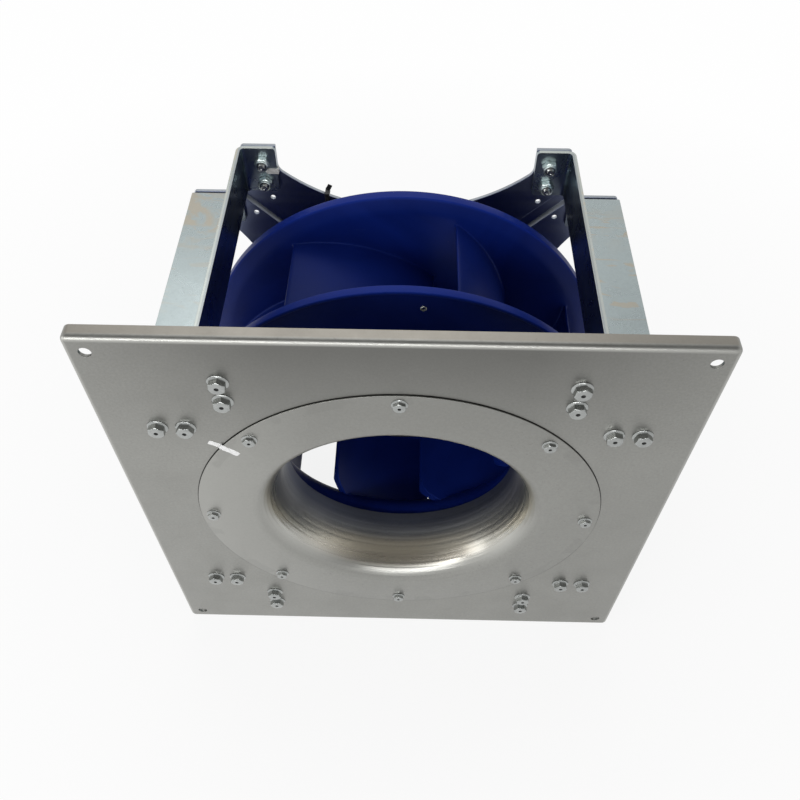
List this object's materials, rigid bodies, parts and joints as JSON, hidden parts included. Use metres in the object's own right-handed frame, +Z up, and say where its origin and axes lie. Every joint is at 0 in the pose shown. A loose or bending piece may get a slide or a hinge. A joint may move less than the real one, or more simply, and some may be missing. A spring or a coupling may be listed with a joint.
{
  "type": "centrifugal plug fan",
  "caption": "Centrifugal plug fan: a square mounting plate with an inlet nozzle, a backward-curved impeller in an open strut frame, and its motor on a cross carrier behind.",
  "frame": {"origin": "centre of the front face of the square mounting plate, on the fan's axis", "axes": "+Y runs rearwards along the fan's axis from the inlet to the motor, +Z up, +X to the right seen from the inlet side"},
  "size_m": [0.5, 0.3372, 0.5],
  "materials": {
    "plate_steel": "galvanised, satin, fine scratches",
    "nozzle_steel": "galvanised and spun, satin",
    "strut_steel": "galvanised, satin, with light stains",
    "carrier_steel": "galvanised, satin",
    "bolt_zinc": "bright zinc plated",
    "screw_zinc": "bright zinc plated",
    "nut_zinc": "bright zinc plated with a dark locking ring",
    "impeller_plastic": "moulded, satin, dark blue",
    "hub_steel": "satin",
    "rotor_steel": "black, satin",
    "magnet_ferrite": "dull dark grey",
    "shaft_steel": "ground",
    "spring_steel": "oiled dark",
    "bearing_steel": "polished",
    "core_steel": "stacked laminations",
    "winding_copper": "enamelled copper wire",
    "cast_aluminium": "die cast, satin",
    "cover_aluminium": "die cast, satin",
    "board_laminate": "green laminate",
    "component_plastic": "dark, satin",
    "gasket_rubber": "matte",
    "gland_plastic": "black, satin",
    "tie_plastic": "black, satin",
    "clip_steel": "bright"
  },
  "bodies": {
    "frame": {"bearing_ball_rings": "bearing_steel", "bearing_outer_rings": "bearing_steel", "board_components": "component_plastic", "cable_glands": "gland_plastic", "cable_tie": "tie_plastic", "circuit_board": "board_laminate", "cover_gasket": "gasket_rubber", "cover_screws": "screw_zinc", "edge_clip": "clip_steel", "electronics_cover": "cover_aluminium", "electronics_housing": "cast_aluminium", "front_bolts": "bolt_zinc", "front_nuts": "nut_zinc", "front_plate": "plate_steel", "housing_screws": "screw_zinc", "inlet_nozzle": "nozzle_steel", "motor_screws": "bolt_zinc", "nozzle_nuts": "nut_zinc", "nozzle_screws": "screw_zinc", "preload_spring": "spring_steel", "rear_bolts": "bolt_zinc", "rear_cross_plate": "carrier_steel", "rear_nuts": "nut_zinc", "stator_core": "core_steel", "stator_flange": "cast_aluminium", "stator_windings": "winding_copper", "strut_bottom_left": "strut_steel", "strut_bottom_right": "strut_steel", "strut_top_left": "strut_steel", "strut_top_right": "strut_steel"},
    "impeller": {"balance_clips": "clip_steel", "bearing_inner_rings": "bearing_steel", "hub_ring": "hub_steel", "impeller_back_plate": "impeller_plastic", "impeller_blades": "impeller_plastic", "impeller_screws": "screw_zinc", "impeller_shroud": "impeller_plastic", "motor_shaft": "shaft_steel", "rotor_bell": "rotor_steel", "rotor_magnets": "magnet_ferrite", "shaft_circlip": "spring_steel"}
  },
  "joints": [
    {"name": "impeller_spin", "type": "hinge", "parent": "frame", "child": "impeller", "pos_m": [0, 0, 0], "axis": [0, 1, 0], "continuous": true}
  ]
}
